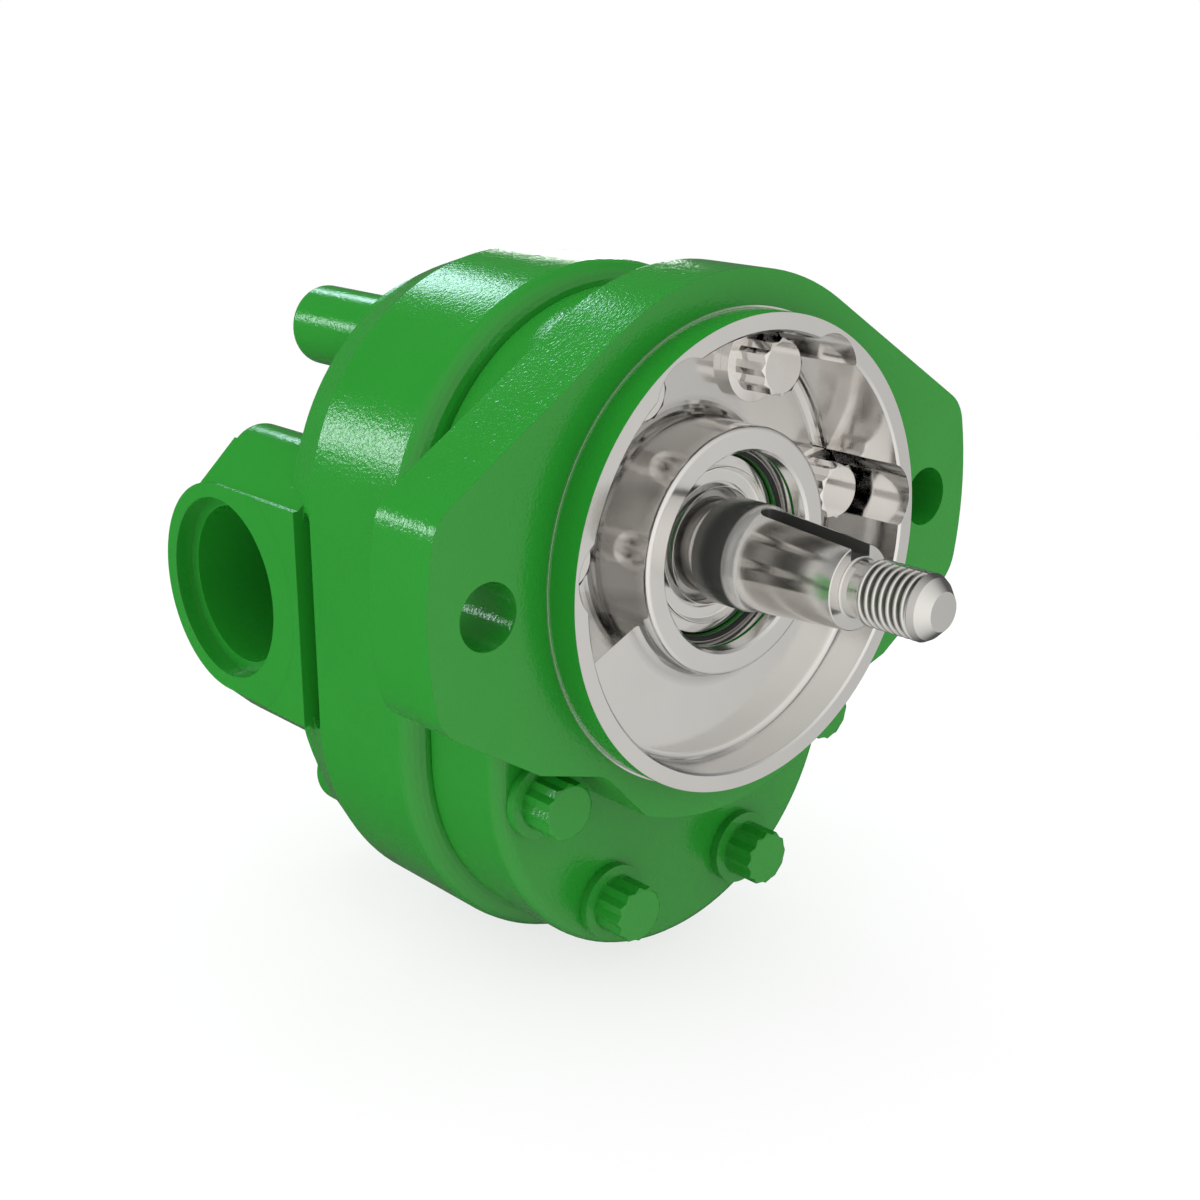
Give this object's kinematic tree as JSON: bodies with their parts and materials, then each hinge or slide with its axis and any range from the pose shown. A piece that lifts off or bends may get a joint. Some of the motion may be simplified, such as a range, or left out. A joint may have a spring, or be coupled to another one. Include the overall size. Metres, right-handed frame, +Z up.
{
  "type": "external gear pump",
  "caption": "External gear pump with a two-bolt flange and round pilot, a keyed taper drive shaft with a threaded tip, and threaded inlet and outlet ports on its sides.",
  "frame": {"origin": "centre of the round pilot, on the flange's mounting face", "axes": "+Y runs into the pump, away from what it is mounted on; -Y is the direction of the drive shaft; +Z is up, with the idler below the drive shaft; +X is towards the outlet port"},
  "size_m": [0.1296, 0.1561, 0.1302],
  "materials": {
    "cover_casting": "glossy green paint over cast metal, with the pilot's rim, recess and seal boss machined bare",
    "body_casting": "glossy green paint over cast metal, over the port faces too",
    "shaft_steel": "ground",
    "gear_steel": "ground and hardened",
    "bush_bronze": "satin",
    "plate_bronze": "satin",
    "seal_rubber": "matte",
    "backup_plastic": "matte",
    "seal_case": "pressed and lightly turned",
    "bright_screws": "satin plated",
    "painted_screws": "glossy green paint over steel"
  },
  "bodies": {
    "housing": {"front_cover": "cover_casting", "pump_body": "body_casting", "front_drive_bush": "bush_bronze", "front_idler_bush": "bush_bronze", "rear_drive_bush": "bush_bronze", "rear_idler_bush": "bush_bronze", "front_wear_plate": "plate_bronze", "rear_wear_plate": "plate_bronze", "plate_seal": "seal_rubber", "plate_backup": "backup_plastic", "body_seal": "seal_rubber", "dowel_pins": "gear_steel", "shaft_seal_jacket": "seal_rubber", "shaft_seal_case": "seal_case", "shaft_seal_lip": "seal_rubber", "seal_spring": "seal_case", "recess_cap_screws": "bright_screws", "lower_cap_screws": "painted_screws"},
    "drive": {"drive_shaft": "shaft_steel", "drive_gear": "gear_steel", "gear_key": "gear_steel"},
    "idler": {"idler_shaft": "shaft_steel", "idler_gear": "gear_steel"}
  },
  "joints": [
    {"name": "drive_spin", "type": "hinge", "parent": "housing", "child": "drive", "pos_m": [0, 0, 0], "axis": [0, 1, 0], "continuous": true},
    {"name": "idler_spin", "type": "hinge", "parent": "housing", "child": "idler", "pos_m": [0, 0, -0.0365], "axis": [0, 1, 0], "continuous": true}
  ],
  "couplings": [
    {"joint": "idler_spin", "follows": "drive_spin", "ratio": -1}
  ]
}
